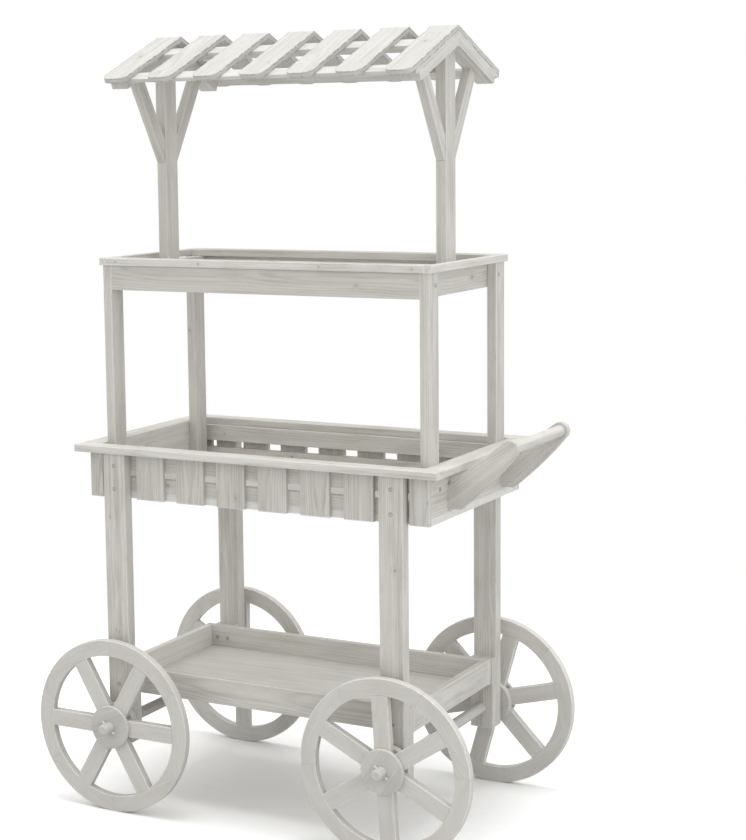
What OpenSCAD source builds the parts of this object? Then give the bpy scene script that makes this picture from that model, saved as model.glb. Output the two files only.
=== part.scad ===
// Candy cart: a roofed wooden serving cart with three trays, a push handle
// and four spoked wheels that turn on fixed wooden axles.
// X runs from the open end to the handle, Y from front to back, Z up from the floor.

/* [Main tray] */
// Height of the main tray's top edge above the floor
tray_top_z = 924; // [840:1:1000]
// Length of the tray over its end panels
tray_l = 938; // [930:1:1100]
// Depth of the tray over its side rails
tray_d = 508; // [480:1:640]
// Thickness of the end panels
end_panel_t = 20; // [15:1:26]
// Height of the end panels
end_panel_h = 96; // [84:1:130]
// Thickness of the side rails
rail_t = 18; // [12:1:22]
// Height of the upper side rails
upper_rail_h = 43; // [34:1:50]
// Open slit between the upper and lower side rails
rail_slit = 18; // [8:1:22]
// Thickness of the tray's floor board
tray_floor_t = 18; // [12:1:25]
// Thickness of the flat rim boards
rim_t = 18; // [12:1:25]
// How far the rim reaches past the end panels
rim_over_end = 31; // [20:1:45]
// How far the rim reaches past the legs
rim_over_leg = 6; // [0:1:20]
// How much of the front and back rim boards lies on the rails
rim_on_rail = 8; // [4:1:16]

/* [Slats] */
// Width of an upright slat on the tray's sides
slat_w = 78; // [50:1:100]
// Thickness of the upright slats
slat_t = 12; // [8:1:20]
// Gap between two upright slats
slat_gap = 38; // [15:1:60]
// Gap between the left legs and their corner slats
left_corner_gap = 15; // [3:1:20]
// Gap between the right legs and their corner slats
right_corner_gap = 7; // [3:1:20]

/* [Legs] */
// Width of a leg, along the cart
leg_w = 62; // [50:1:75]
// Thickness of a leg, front to back
leg_t = 31; // [24:1:40]
// Middle of the left legs, from the tray's middle
left_leg_x = -386; // [-400:1:-340]
// Middle of the right legs, from the tray's middle
right_leg_x = 380; // [340:1:400]
// How far the axles lie from the middle of their legs, towards the tray's middle
axle_in = 2; // [0:0.5:5]
// How far the legs reach below the middle of the axle
leg_foot = 52; // [30:1:70]

/* [Lower tray] */
// Thickness of the axle blocks between the legs and the lower tray
block_t = 21; // [15:1:30]
// Height of the lower tray's boards
lower_tray_h = 65; // [50:1:90]
// Thickness of the lower tray's boards
lower_board_t = 18; // [12:1:22]
// Thickness of the lower tray's floor
lower_floor_t = 9; // [6:1:15]
// Height of the lower tray's underside over the middle of the axles
lower_tray_rise = 66; // [40:1:110]
// How far the lower tray reaches past the left legs
lower_over_left = 21; // [0:1:40]
// How far the lower tray stops short of the right legs' outer side
lower_short_right = 6; // [0:1:20]

/* [Wheels and axles] */
// Wheel diameter
wheel_d = 440; // [390:1:480]
// Thickness of the felloes and the spoke boards
wheel_t = 20; // [16:1:30]
// Width of the felloes between the inside of the rim and the tread
felloe_w = 40; // [30:1:60]
// Width of a spoke
spoke_w = 42; // [30:1:50]
// Length of a spoke's tenon in the rim
tenon_l = 18; // [8:1:25]
// Width of a tenon
tenon_w = 26; // [15:1:28]
// Thickness of a tenon
tenon_t = 7; // [5:0.5:10]
// Clearance around a tenon
tenon_fit = 0.1; // [0.05:0.05:0.3]
// Diameter of the discs that clamp the spokes
hub_disc_d = 109; // [96:1:130]
// Thickness of the outer hub disc
outer_disc_t = 10; // [6:1:16]
// Thickness of the inner hub disc
inner_disc_t = 18; // [5:1:24]
// Free space between a leg and the inner hub disc
hub_gap = 5; // [1:0.5:10]
// Axle diameter
axle_d = 28; // [22:1:32]
// Running clearance of a wheel on its axle, on the radius
wheel_play = 0.05; // [0.02:0.01:0.1]
// Clearance of an axle in its legs and blocks, on the radius
axle_seat = 0.02; // [0.01:0.01:0.1]
// How far an axle stands out of the outer hub disc
axle_stub = 30; // [14:1:40]
// Chamfer at the axle's ends
axle_chamfer = 4; // [1:0.5:8]
// Diameter of the peg that keeps a wheel on its axle
peg_d = 6; // [4:0.5:8]
// Length of a peg
peg_l = 44; // [38:1:60]
// Clearance around a peg in the axle, on the radius
peg_fit = 0.05; // [0.02:0.01:0.2]
// Space between a peg and the outer hub disc
peg_gap = 0.5; // [0.3:0.1:2]
// Slope of the pegs from level, in degrees
peg_angle = -40; // [-90:5:90]
// Turn of the front left wheel, in degrees
front_left_turn = 0; // [0:0.5:60]
// Turn of the front right wheel, in degrees
front_right_turn = 33.5; // [0:0.5:60]
// Turn of the back left wheel, in degrees
back_left_turn = 30; // [0:0.5:60]
// Turn of the back right wheel, in degrees
back_right_turn = 14.5; // [0:0.5:60]

/* [Handle] */
// Distance over the outer faces of the handle's arms
handle_w = 330; // [240:1:400]
// Thickness of an arm
arm_t = 18; // [14:1:25]
// Reach of the grip's middle from the end panel
grip_reach = 154; // [120:1:200]
// Height of the grip's middle over the rim's top
grip_rise = 42; // [20:1:70]
// Radius of the rounded arm tips
arm_tip_r = 21; // [16:1:26]
// Diameter of the grip
grip_d = 28; // [22:1:32]
// Width of the arms, square to their slope
arm_w = 60; // [46:1:66]
// Slope of the arms' top edge from level, in degrees
arm_slope = 38; // [34:0.5:41]
// Height of the arms' foot over the underside of the end panel
arm_foot_rise = 8; // [2:1:14]
// Length of the level stretch under an arm
arm_foot_l = 34; // [26:1:40]
// How far the round of an arm's tip runs on below its outermost point, in degrees
arm_tip_wrap = 32; // [20:1:40]
// Distance from the grip's middle at which the arms' curved underside starts to rise
arm_bend_at = 77; // [60:1:95]

/* [Upper tray] */
// Height of the upper tray's top edge over the main tray's
upper_rise = 463; // [380:1:560]
// Width of an upper post, along the cart
post_w = 24.5; // [20:0.5:32]
// Depth of an upper post, front to back
post_d = 51; // [40:1:62]
// Space between a rail and the upper post inside it
post_inset = 18; // [12:1:50]
// Height of the upper tray's aprons
apron_h = 61; // [45:1:80]
// Thickness of the front and back aprons
apron_t = 18; // [12:1:22]
// Thickness of the end aprons
end_apron_t = 20; // [14:1:26]
// How far the aprons lie behind the faces of the posts
apron_recess = 1; // [0:0.5:5]
// Thickness of the upper tray's floor
upper_floor_t = 9; // [6:1:15]
// Thickness of the upper tray's rim
upper_rim_t = 18; // [12:1:22]
// Width of the front and back rim boards of the upper tray
upper_rim_w = 44; // [36:1:55]
// Width of the end strips of the upper tray
end_strip_w = 18; // [14:1:24]
// How far the end strips reach past the posts
strip_over = 7; // [2:1:12]
// How far the upper rim reaches past the posts at front and back
upper_rim_over = 5; // [0:1:15]

/* [Roof] */
// Height of the ridge over the upper tray's top edge
ridge_rise = 548; // [460:1:640]
// Slope of the roof, in degrees
roof_pitch = 22.6; // [16:0.1:30]
// Distance from the ridge to an eave, measured level
eave_reach = 262; // [225:1:300]
// Width of a roof post, along the cart
roof_post_w = 26; // [20:1:34]
// Depth of a roof post, front to back
roof_post_d = 54; // [40:1:64]
// How far the roof reaches past the left post
roof_over_left = 8.5; // [2:0.5:40]
// How far the roof reaches past the right post
roof_over_right = 21.5; // [2:0.5:40]
// Width of a rafter, along the cart
rafter_w = 46; // [40:1:64]
// Thickness of a rafter
rafter_t = 21; // [14:1:26]
// Distance from the ridge to the lower end of a rafter, measured level
rafter_reach = 207; // [185:1:215]
// Width of the long battens under the roof slats
batten_w = 43; // [30:1:55]
// Thickness of the battens
batten_t = 10; // [7:0.5:15]
// How far the lower long battens lie back from the ends of the roof slats
eave_batten_back = 26; // [2:1:40]
// Distance from the ridge to the upper long battens, along the slope
upper_batten_at = 34; // [15:1:50]
// Width of a roof slat
roof_slat_w = 72; // [55:1:80]
// Thickness of the roof slats
roof_slat_t = 12; // [8:0.5:16]
// Roof slats on each slope
roof_slats = 7; // [4:1:8]
// Radius of the rounded corners of the roof slats
slat_corner_r = 28; // [5:1:34]
// Width of a brace, square to its slope
brace_w = 33; // [24:1:42]
// Thickness of a brace, along the cart
brace_t = 22; // [16:1:24]
// Slope of the braces from upright, in degrees
brace_lean = 31; // [26:0.5:34]
// Height of the braces' feet over the upper tray's top edge
brace_foot = 234; // [180:1:280]
// Width of the level cut under a brace
brace_lip = 3; // [1:0.5:8]

/* [Finish] */
// Eased edge on the boards
ease = 1.2; // [0.4:0.1:2.5]
// Glue line between felloes, lapped spokes and battens
glue_line = 0.15; // [0.1:0.05:0.3]

/* [Screws] */
// Radius of a screw's head
screw_head_r = 4; // [3:0.5:5]
// Height of the countersunk head
screw_head_h = 3; // [2:0.5:4]
// Radius of a screw's shank
screw_shank_r = 2; // [1.5:0.25:2.5]
// Clearance around a screw
screw_fit = 0.1; // [0.05:0.05:0.3]
// Depth of a screw's head under the surface
screw_sunk = 0.3; // [0:0.1:1]
// Grip of a screw in the piece behind
screw_bite = 13; // [8:1:16]
// Drop of the legs' upper screws below the rim
leg_screw_drop = 30; // [15:1:32]
// Rise of the legs' second screws over the underside of the lower rails
leg_screw_rise = 8; // [5:1:20]
// Distance from a post's outer face to the screw in the end panel
post_screw_in = 12; // [8:1:30]
// Drop of the end panels' screws below the rim
panel_screw_drop = 36; // [20:1:60]
// Drop of the upper posts' screws below the upper rim
apron_screw_drop = 30; // [15:1:40]
// Depth of the screws from the aprons into the posts, from the posts' outer faces
apron_screw_in = 35; // [28:1:42]
// Distance of the lower tray's inside screws from the middle of a leg
inner_screw_off = 16; // [8:1:22]

/* [Hidden] */
$fn = 96;
front = -1;
back = 1;
left = -1;
right = 1;
// Overshoot of a cut past the surface that it opens
cut_over = 1;

// Levels of the wheels and the lower tray
wheel_r = wheel_d / 2;
axle_r = axle_d / 2;
axle_z = wheel_r;
leg_z0 = axle_z - leg_foot;
lower_tray_z0 = axle_z + lower_tray_rise;
lower_tray_z1 = lower_tray_z0 + lower_tray_h;

// Levels of the main tray
rim_z0 = tray_top_z - rim_t;
panel_z0 = rim_z0 - end_panel_h;
tray_z0 = panel_z0 - tray_floor_t;
upper_rail_z0 = rim_z0 - upper_rail_h;
lower_rail_z1 = upper_rail_z0 - rail_slit;

// Half lengths and depths of the main tray
tray_x = tray_l / 2;
tray_y = tray_d / 2;
panel_in_x = tray_x - end_panel_t;
rail_in_y = tray_y - rail_t;
leg_y = tray_y + leg_t;
rim_x = tray_x + rim_over_end;
rim_y = leg_y + rim_over_leg;
rim_in_y = tray_y - rim_on_rail;

// Lower tray
lower_y = tray_y - block_t;
lower_in_y = lower_y - lower_board_t;
lower_x0 = left_leg_x - leg_w / 2 - lower_over_left;
lower_x1 = right_leg_x + leg_w / 2 - lower_short_right;

// Wheels, from the leg outwards
wheel_y = leg_y + hub_gap + inner_disc_t;
felloe_in_r = wheel_r - felloe_w;
bore_r = axle_r + wheel_play;
disc_out_y = wheel_y + wheel_t + outer_disc_t;
axle_end_y = disc_out_y + axle_stub;
peg_r = peg_d / 2;
peg_y = disc_out_y + peg_gap + peg_r;
spoke_boards = 3;
spoke_angle = 180 / spoke_boards;
felloe_joint = glue_line / felloe_in_r * 180 / PI;
// A tenon grows out of the spoke's round end and stops short of the felloes' tread
tenon_root_r = sqrt(pow(felloe_in_r, 2) - pow(tenon_w / 2, 2)) - ease;
spoke_end_r = felloe_in_r + tenon_l;

// Upright slats between the legs
slat_pitch = slat_w + slat_gap;
slat_bay_x0 = left_leg_x + leg_w / 2;
slat_bay_x1 = right_leg_x - leg_w / 2;
slat_count = floor((slat_bay_x1 - slat_bay_x0 + slat_gap) / slat_pitch);
slat_run = slat_count * slat_pitch - slat_gap;
slat_x0 = (slat_bay_x0 + slat_bay_x1 - slat_run) / 2;
slat_y = tray_y + slat_t;

// Upper tray
post_x = panel_in_x;
post_in_x = post_x - post_w;
post_y = rail_in_y - post_inset;
post_in_y = post_y - post_d;
upper_top_z = tray_top_z + upper_rise;
upper_rim_z0 = upper_top_z - upper_rim_t;
apron_z0 = upper_rim_z0 - apron_h;
upper_floor_z1 = apron_z0 + upper_floor_t;
apron_y = post_y - apron_recess;
apron_in_y = apron_y - apron_t;
end_apron_in_x = post_in_x - end_apron_t;
strip_x = post_x + strip_over;
strip_in_x = strip_x - end_strip_w;
upper_rim_y = post_y + upper_rim_over;
upper_rim_in_y = upper_rim_y - upper_rim_w;

// Roof, measured square to the slope from the underside of the rafters
ridge_z = upper_top_z + ridge_rise;
batten_w0 = rafter_t;
slat_w0 = batten_w0 + batten_t;
slat_w1 = slat_w0 + roof_slat_t;
apex_z = ridge_z - slat_w1 / cos(roof_pitch);
roof_post_x = end_apron_in_x;
roof_post_in_x = roof_post_x - roof_post_w;
roof_post_y = roof_post_d / 2;
brace_mid_x = roof_post_x - roof_post_w / 2;
roof_x0 = -roof_post_x - roof_over_left;
roof_x1 = roof_post_x + roof_over_right;
roof_slat_pitch = (roof_x1 - roof_x0 - roof_slat_w) / (roof_slats - 1);
eave_u = (eave_reach - slat_w1 * sin(roof_pitch)) / cos(roof_pitch);
rafter_u = rafter_reach / cos(roof_pitch);
rafter_x = [[roof_x0, roof_x0 + rafter_w], [roof_x1 - rafter_w, roof_x1]];
brace_foot_z = upper_top_z + brace_foot;

// Handle, in the X-Z plane
grip_x = tray_x + grip_reach;
grip_z = tray_top_z + grip_rise;
arm_foot_z = panel_z0 + arm_foot_rise;
arm_y = handle_w / 2;
arm_steps = 10;

// Middle of the whole cart along X, over the wheels and the handle
cart_x0 = min(axle_x(left) - wheel_r, -rim_x);
cart_x1 = max(grip_x + arm_tip_r, axle_x(right) + wheel_r, rim_x);
cart_mid_x = (cart_x0 + cart_x1) / 2;

// A screw is its head's place, the turn that points its head outwards, and its length
to_front = [90, 0, 0];
to_back = [-90, 0, 0];
to_left = [0, -90, 0];
to_right = [0, 90, 0];
leg_screw_l = leg_t + screw_bite;
block_screw_l = leg_t + block_t + screw_bite;
panel_screw_l = end_panel_t + screw_bite;
apron_screw_l = post_w + screw_bite;
inner_screw_l = lower_board_t + screw_bite;
leg_screw_z = [rim_z0 - leg_screw_drop, panel_z0 + leg_screw_rise];
lower_screw_z = lower_tray_z0 + lower_tray_h / 2;
leg_ends = [left_leg_x, right_leg_x];

function leg_x(end) = end == left ? left_leg_x : right_leg_x;
function axle_x(end) = leg_x(end) - end * axle_in;
function facing(side) = side == front ? to_front : to_back;
function leg_screws(x, side) = concat(
    [for (z = leg_screw_z) [[x, side * leg_y, z], facing(side), leg_screw_l]],
    [[[x, side * leg_y, lower_screw_z], facing(side), block_screw_l]]);
function side_leg_screws(side) = [for (x = leg_ends, s = leg_screws(x, side)) s];
function inner_screws(x, side) = [for (off = [-inner_screw_off, inner_screw_off])
    [[x + off, side * lower_in_y, lower_screw_z], facing(-side), inner_screw_l]];
function side_inner_screws(side) = [for (x = leg_ends, s = inner_screws(x, side)) s];
function panel_screws(end) = [for (side = [front, back])
    [[end * tray_x, side * (post_y - post_screw_in), rim_z0 - panel_screw_drop],
        end == left ? to_left : to_right, panel_screw_l]];
function apron_screws(end) = [for (side = [front, back])
    [[end * post_x, side * (post_y - apron_screw_in), upper_rim_z0 - apron_screw_drop],
        end == left ? to_left : to_right, apron_screw_l]];
all_screws = concat(
    [for (side = [front, back], s = side_leg_screws(side)) s],
    [for (side = [front, back], s = side_inner_screws(side)) s],
    [for (end = [left, right], s = panel_screws(end)) s],
    [for (end = [left, right], s = apron_screws(end)) s]);

// Outline of a countersunk screw of length l, grown by a clearance g
function screw_outline(l, g) = [
    [0, g > 0 ? cut_over : -screw_sunk],
    [screw_head_r + g, g > 0 ? cut_over : -screw_sunk],
    [screw_head_r + g, -screw_sunk - g],
    [screw_shank_r + g, -screw_sunk - screw_head_h],
    [screw_shank_r + g, -l + screw_head_h],
    [0, -l - g]];

module screw_at(s, g) {
    translate(s[0])
        rotate(s[1])
            rotate_extrude()
                polygon(screw_outline(s[2], g));
}

module screwed(screws) {
    difference() {
        children();
        for (s = screws)
            screw_at(s, screw_fit);
    }
}

// Moves the cart so that its middle lies over the origin
module placed() {
    translate([-cart_mid_x, 0, 0])
        children();
}

// Section of a board with eased edges
module eased_rect(a, b) {
    polygon([[ease, 0], [a - ease, 0], [a, ease], [a, b - ease],
        [a - ease, b], [ease, b], [0, b - ease], [0, ease]]);
}

// A board between two corners, with its long edges eased along the grain
module board(x, y, z, grain = "x") {
    dx = x[1] - x[0];
    dy = y[1] - y[0];
    dz = z[1] - z[0];
    if (grain == "x")
        translate([x[0], y[0], z[0]])
            rotate([90, 0, 90])
                linear_extrude(dx)
                    eased_rect(dy, dz);
    if (grain == "y")
        translate([x[0], y[1], z[0]])
            rotate([90, 0, 0])
                linear_extrude(dy)
                    eased_rect(dx, dz);
    if (grain == "z")
        translate([x[0], y[0], z[0]])
            linear_extrude(dz)
                eased_rect(dx, dy);
}

// The two ends of a span on one side of the middle, in rising order
function span(side, a, b) = side < 0 ? [-max(a, b), -min(a, b)] : [min(a, b), max(a, b)];

module axle_hole(x, y0, y1) {
    translate([x, y1 + cut_over, axle_z])
        rotate([90, 0, 0])
            cylinder(h = y1 - y0 + 2 * cut_over, r = axle_r + axle_seat);
}

module leg(end, side) {
    x = leg_x(end);
    y = span(side, tray_y, leg_y);
    screwed(leg_screws(x, side))
        difference() {
            board([x - leg_w / 2, x + leg_w / 2], y, [leg_z0, rim_z0], "z");
            axle_hole(axle_x(end), y[0], y[1]);
        }
}

module axle_block(end, side) {
    x = leg_x(end);
    y = span(side, lower_y, tray_y);
    screwed(concat(leg_screws(x, side), inner_screws(x, side)))
        difference() {
            board([x - leg_w / 2, x + leg_w / 2], y, [leg_z0, lower_tray_z1], "z");
            axle_hole(axle_x(end), y[0], y[1]);
        }
}

module axle_blocks(end) {
    for (side = [front, back])
        axle_block(end, side);
}

// Round bar along the axis of a rotate_extrude, chamfered at both ends
module dowel(r, l, chamfer) {
    rotate_extrude()
        polygon([[0, -l / 2], [r - chamfer, -l / 2], [r, chamfer - l / 2],
            [r, l / 2 - chamfer], [r - chamfer, l / 2], [0, l / 2]]);
}

module peg_at(end, side, r, l) {
    translate([axle_x(end), side * peg_y, axle_z])
        rotate([0, 90 - peg_angle, 0])
            cylinder(h = l, r = r, center = true);
}

module axle(end) {
    difference() {
        translate([axle_x(end), 0, axle_z])
            rotate([90, 0, 0])
                dowel(axle_r, 2 * axle_end_y, axle_chamfer);
        for (side = [front, back])
            peg_at(end, side, peg_r + peg_fit, axle_d + 2 * cut_over);
    }
}

module pegs() {
    for (end = [left, right], side = [front, back])
        peg_at(end, side, peg_r, peg_l);
}

// Puts a wheel's piece on its axle: the piece's z runs outwards from the wheel's inner face
module on_axle(end, side, turn) {
    translate([axle_x(end), 0, axle_z])
        mirror([0, side == back ? 1 : 0, 0])
            translate([0, -wheel_y, 0])
                rotate([90, 0, 0])
                    rotate([0, 0, turn])
                        children();
}

// Section of the rim: radius, and height over the wheel's inner face
function felloe_outline() =
    [[felloe_in_r + ease, 0], [wheel_r - ease, 0], [wheel_r, ease], [wheel_r, wheel_t - ease],
        [wheel_r - ease, wheel_t], [felloe_in_r + ease, wheel_t], [felloe_in_r, wheel_t - ease],
        [felloe_in_r, ease]];

// Tenons of the spoke boards, or their mortises when grown by g
module tenons(g) {
    l = 2 * (spoke_end_r + g);
    for (i = [0:spoke_boards - 1])
        rotate([0, 0, i * spoke_angle])
            translate([0, 0, wheel_t / 2])
                cube([l, tenon_w + 2 * g, tenon_t + 2 * g], center = true);
}

// One felloe sits on each spoke's end, and two meet midway between spokes
module wheel_rim() {
    difference() {
        for (i = [0:2 * spoke_boards - 1])
            rotate([0, 0, (i - 0.5) * spoke_angle])
                rotate_extrude(angle = spoke_angle - felloe_joint)
                    polygon(felloe_outline());
        tenons(tenon_fit);
    }
}

// Space that spoke board i takes from the others between two levels, with its glue line
module spoke_lap(i, z0, z1) {
    w = spoke_w + 2 * glue_line;
    rotate([0, 0, i * spoke_angle])
        translate([-felloe_in_r, -w / 2, z0])
            cube([2 * felloe_in_r, w, z1 - z0]);
}

module spoke_board(i) {
    rotate([0, 0, i * spoke_angle]) {
        intersection() {
            board([-wheel_r, wheel_r], [-spoke_w / 2, spoke_w / 2], [0, wheel_t]);
            cylinder(h = wheel_t, r = felloe_in_r);
        }
        for (end = [left, right])
            translate([end * (tenon_root_r + spoke_end_r) / 2, 0, wheel_t / 2])
                cube([spoke_end_r - tenon_root_r, tenon_w, tenon_t], center = true);
    }
}

// Three boards cross at the hub and lap over each other by thirds
module wheel_spokes() {
    third = wheel_t / spoke_boards;
    half_line = glue_line / 2;
    difference() {
        union() {
            difference() {
                spoke_board(0);
                spoke_lap(1, third - half_line, wheel_t + cut_over);
                spoke_lap(2, third - half_line, wheel_t + cut_over);
            }
            difference() {
                spoke_board(1);
                spoke_lap(0, -cut_over, third + half_line);
                spoke_lap(2, 2 * third - half_line, wheel_t + cut_over);
            }
            difference() {
                spoke_board(2);
                spoke_lap(0, -cut_over, third + half_line);
                spoke_lap(1, -cut_over, 2 * third + half_line);
            }
        }
        translate([0, 0, -cut_over])
            cylinder(h = wheel_t + 2 * cut_over, r = bore_r);
    }
}

module hub_disc(z0, t) {
    disc_r = hub_disc_d / 2;
    translate([0, 0, z0])
        rotate_extrude()
            polygon([[bore_r, 0], [disc_r - ease, 0], [disc_r, ease],
                [disc_r, t - ease], [disc_r - ease, t], [bore_r, t]]);
}

module hub_discs() {
    hub_disc(-inner_disc_t, inner_disc_t);
    hub_disc(wheel_t, outer_disc_t);
}

module lower_side_board(side) {
    screwed(concat(side_leg_screws(side), side_inner_screws(side)))
        board([lower_x0, lower_x1], span(side, lower_in_y, lower_y), [lower_tray_z0, lower_tray_z1]);
}

module lower_end_board(x0) {
    board([x0, x0 + lower_board_t], [-lower_in_y, lower_in_y], [lower_tray_z0, lower_tray_z1], "y");
}

module lower_floor() {
    board([lower_x0 + lower_board_t, lower_x1 - lower_board_t], [-lower_in_y, lower_in_y],
        [lower_tray_z0, lower_tray_z0 + lower_floor_t]);
}

module tray_floor() {
    board([-tray_x, tray_x], [-tray_y, tray_y], [tray_z0, panel_z0]);
}

module end_panel(end) {
    screwed(panel_screws(end))
        board(span(end, panel_in_x, tray_x), [-tray_y, tray_y], [panel_z0, rim_z0], "y");
}

module rails(side) {
    y = span(side, rail_in_y, tray_y);
    screwed(side_leg_screws(side)) {
        board([-panel_in_x, panel_in_x], y, [upper_rail_z0, rim_z0]);
        board([-panel_in_x, panel_in_x], y, [panel_z0, lower_rail_z1]);
    }
}

module slats(side) {
    y = span(side, tray_y, slat_y);
    z = [tray_z0, rim_z0];
    for (i = [0:slat_count - 1])
        board([slat_x0 + i * slat_pitch, slat_x0 + i * slat_pitch + slat_w], y, z, "z");
    board([-tray_x, left_leg_x - leg_w / 2 - left_corner_gap], y, z, "z");
    board([right_leg_x + leg_w / 2 + right_corner_gap, tray_x], y, z, "z");
}

module rim_side_board(side) {
    board([-rim_x, rim_x], span(side, rim_in_y, rim_y), [rim_z0, tray_top_z]);
}

module rim_end_board(end) {
    board(span(end, panel_in_x, rim_x), [-rim_in_y, rim_in_y], [rim_z0, tray_top_z], "y");
}

// Point at t on a curve from p to r that leans towards q
function curve(p, q, r, t) = (1 - t) * (1 - t) * p + 2 * t * (1 - t) * q + t * t * r;

// Outline of an arm: level foot, rising curved underside, round tip, straight top
function arm_outline() =
    let (
        along = [cos(arm_slope), sin(arm_slope)],
        up = [-sin(arm_slope), cos(arm_slope)],
        tip = [grip_x, grip_z],
        foot = [tray_x + arm_foot_l, arm_foot_z],
        under_turn = -arm_tip_wrap,
        under_end = tip + arm_tip_r * [cos(under_turn), sin(under_turn)],
        lean = tip - arm_bend_at * along - (arm_w - arm_tip_r) * up,
        top_run = (grip_x - arm_tip_r * sin(arm_slope) - tray_x) / cos(arm_slope),
        top_foot = tip + arm_tip_r * up - top_run * along
    )
    concat(
        [[tray_x, arm_foot_z]],
        [for (i = [0:arm_steps]) curve(foot, lean, under_end, i / arm_steps)],
        [for (i = [1:arm_steps])
            let (a = under_turn + i / arm_steps * (arm_slope + 90 - under_turn))
            tip + arm_tip_r * [cos(a), sin(a)]],
        [top_foot]);

module arm(side) {
    y = span(side, arm_y - arm_t, arm_y);
    translate([0, y[1], 0])
        rotate([90, 0, 0])
            linear_extrude(arm_t)
                polygon(arm_outline());
}

module grip() {
    translate([grip_x, 0, grip_z])
        rotate([90, 0, 0])
            cylinder(h = 2 * (arm_y - arm_t), r = grip_d / 2, center = true);
}

module post(end, side) {
    x = span(end, post_in_x, post_x);
    y = span(side, post_in_y, post_y);
    screwed(concat(panel_screws(end), apron_screws(end)))
        board(x, y, [panel_z0, upper_rim_z0], "z");
}

module long_apron(side) {
    board([-post_in_x, post_in_x], span(side, apron_in_y, apron_y), [apron_z0, upper_rim_z0]);
}

module end_apron(end) {
    x = span(end, end_apron_in_x, post_in_x);
    screwed(apron_screws(end))
        board(x, [-apron_in_y, apron_in_y], [apron_z0, upper_rim_z0], "y");
}

module upper_floor() {
    board([-end_apron_in_x, end_apron_in_x], [-apron_in_y, apron_in_y], [apron_z0, upper_floor_z1]);
}

module upper_rim() {
    for (side = [front, back]) {
        y = span(side, upper_rim_in_y, upper_rim_y);
        board([-strip_in_x, strip_in_x], y, [upper_rim_z0, upper_top_z]);
    }
}

module end_strips() {
    for (end = [left, right]) {
        x = span(end, strip_in_x, strip_x);
        board(x, [-upper_rim_y, upper_rim_y], [upper_rim_z0, upper_top_z], "y");
    }
}

// Puts a piece on one slope: its y runs down the slope and its z square to it
module on_slope(side) {
    translate([0, 0, apex_z])
        mirror([0, side == front ? 1 : 0, 0])
            rotate([-roof_pitch, 0, 0])
                children();
}

// A flat piece between two levels that starts at the ridge with an upright cut
module ridge_cut_board(x, w0, w1, u1) {
    lean = tan(roof_pitch);
    start = glue_line / 2 / cos(roof_pitch);
    translate([x[0], 0, 0])
        rotate([90, 0, 90])
            linear_extrude(x[1] - x[0])
                polygon([[start - w0 * lean, w0], [u1, w0], [u1, w1], [start - w1 * lean, w1]]);
}

// The upright post ends in a ridge that fits under the two rafters
module roof_post(end) {
    x = span(end, roof_post_in_x, roof_post_x);
    shoulder_z = apex_z - roof_post_y * tan(roof_pitch);
    translate([x[0], 0, 0])
        rotate([90, 0, 90])
            linear_extrude(roof_post_w)
                polygon([[-roof_post_y, upper_floor_z1], [roof_post_y, upper_floor_z1],
                    [roof_post_y, shoulder_z], [0, apex_z], [-roof_post_y, shoulder_z]]);
}

// Outline of a brace: level foot, two leaning edges, top cut under the rafter
function brace_outline() =
    let (
        rise = 1 / tan(brace_lean),
        fall = tan(roof_pitch),
        outer_y = roof_post_y + brace_lip,
        inner_y = outer_y - brace_w / cos(brace_lean),
        room = apex_z - brace_foot_z,
        top_outer = (room + outer_y * rise) / (rise + fall),
        top_inner = (room + inner_y * rise) / (rise + fall)
    )
    [[roof_post_y, brace_foot_z], [outer_y, brace_foot_z],
        [top_outer, apex_z - top_outer * fall], [top_inner, apex_z - top_inner * fall],
        [roof_post_y, brace_foot_z + (roof_post_y - inner_y) * rise]];

module brace(end, side) {
    mirror([0, side == front ? 1 : 0, 0])
        translate([end * brace_mid_x - brace_t / 2, 0, 0])
            rotate([90, 0, 90])
                linear_extrude(brace_t)
                    polygon(brace_outline());
}

module braces() {
    for (end = [left, right], side = [front, back])
        brace(end, side);
}

module rafter_frame() {
    for (x = rafter_x, side = [front, back])
        on_slope(side)
            ridge_cut_board(x, 0, rafter_t, rafter_u);
}

// Long battens carry the slats, and short ones fill in beside them over the rafters
module battens() {
    eave_batten_at = eave_u - eave_batten_back - batten_w;
    for (side = [front, back])
        on_slope(side) {
            for (u = [upper_batten_at, eave_batten_at])
                board([roof_x0, roof_x1], [u, u + batten_w], [batten_w0, slat_w0]);
            for (x = rafter_x) {
                ridge_cut_board(x, batten_w0, slat_w0, upper_batten_at - glue_line);
                board(x, [upper_batten_at + batten_w + glue_line, eave_batten_at - glue_line],
                    [batten_w0, slat_w0], "y");
            }
        }
}

// Plan of a roof slat, rounded at the eave
module slat_plan(u0, u1) {
    r = min(slat_corner_r, roof_slat_w / 2);
    translate([0, u0])
        square([roof_slat_w, u1 - r - u0]);
    translate([r, u0])
        square([roof_slat_w - 2 * r, u1 - u0]);
    for (x = [r, roof_slat_w - r])
        translate([x, u1 - r])
            circle(r);
}

module roof_slat(x) {
    intersection() {
        ridge_cut_board([x, x + roof_slat_w], slat_w0, slat_w1, eave_u);
        translate([x, 0, slat_w0])
            linear_extrude(roof_slat_t)
                slat_plan(-slat_w1, eave_u);
    }
}

module roof_slope(side) {
    on_slope(side)
        for (i = [0:roof_slats - 1])
            roof_slat(roof_x0 + i * roof_slat_pitch);
}

module screw_set() {
    for (s = all_screws)
        screw_at(s, 0);
}

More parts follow.
